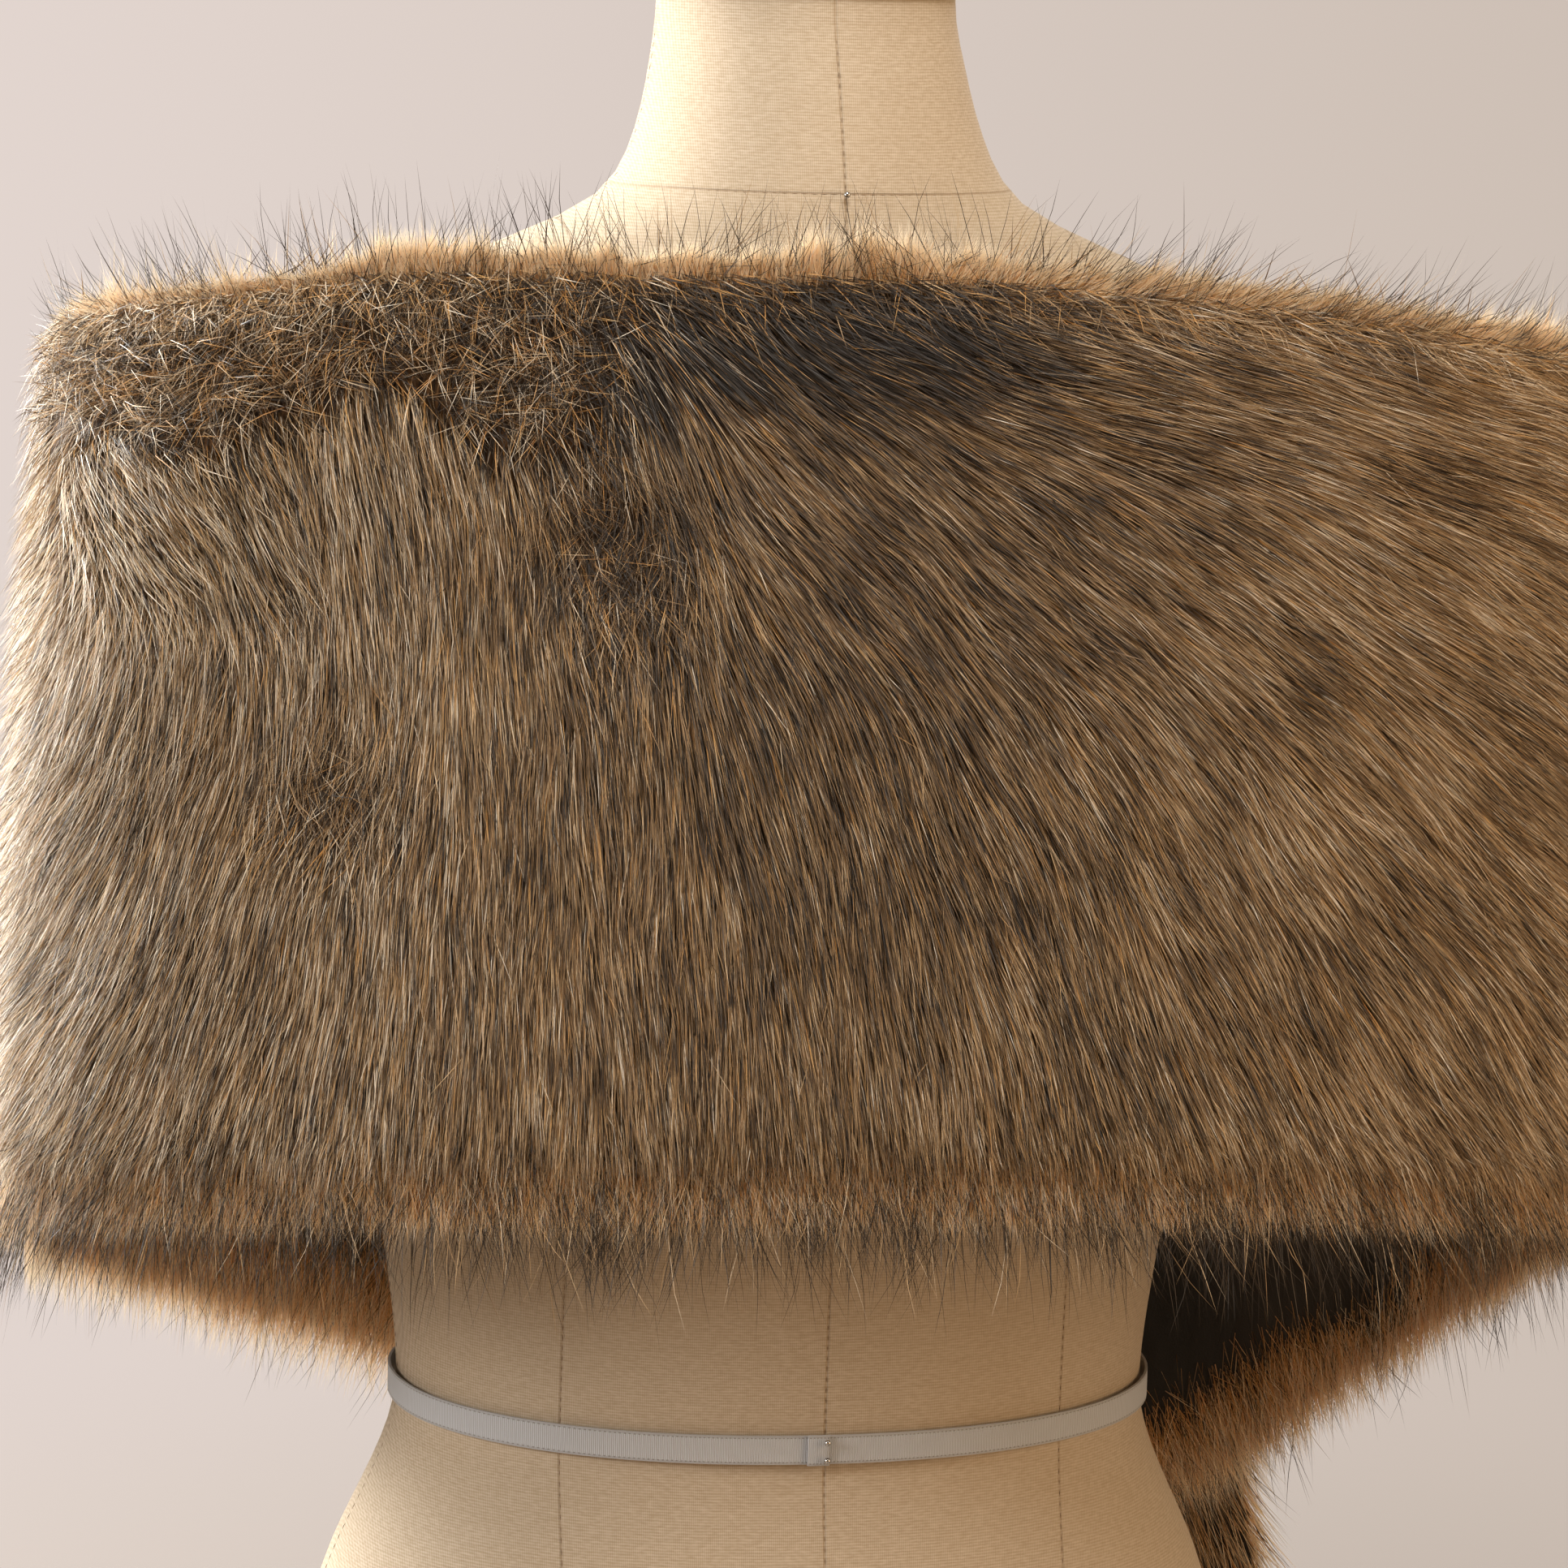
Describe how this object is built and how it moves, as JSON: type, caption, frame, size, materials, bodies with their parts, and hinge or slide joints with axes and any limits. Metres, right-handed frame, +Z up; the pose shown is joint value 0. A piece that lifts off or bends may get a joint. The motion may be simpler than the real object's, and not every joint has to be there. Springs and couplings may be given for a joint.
{
  "type": "fur wrap on dress form",
  "caption": "Long-pile faux-fur stole wound round the shoulders of a limbless linen dress form, ends crossed on the chest, with a hanging tail.",
  "frame": {"origin": "centre of the form's flat underside, on the surface it stands on", "axes": "+Z up; the form faces -Y and its own left side is +X"},
  "size_m": [0.5353, 0.3216, 0.7158],
  "materials": {
    "fur": "long combed faux fur, golden roots, mid-brown hair, near-black tips",
    "lining": "near-black satin lining",
    "linen": "natural linen cover, fine level weave",
    "cap": "dark cap and edge",
    "board": "plain sanded board",
    "tape": "off-white ribbed cotton tape",
    "pin": "small steel pin heads"
  },
  "bodies": {
    "root": {"fur_back": "fur", "fur_left": "fur", "fur_right": "fur", "fur_tail": "fur", "lining_back": "lining", "lining_left": "lining", "lining_right": "lining", "lining_tail": "lining", "form_torso": "linen", "form_neck_cap": "cap", "form_base": "board", "waist_tape": "tape", "waist_tape_end": "tape", "pin_neck": "pin", "pin_tape_lower": "pin", "pin_tape_upper": "pin"}
  },
  "joints": []
}
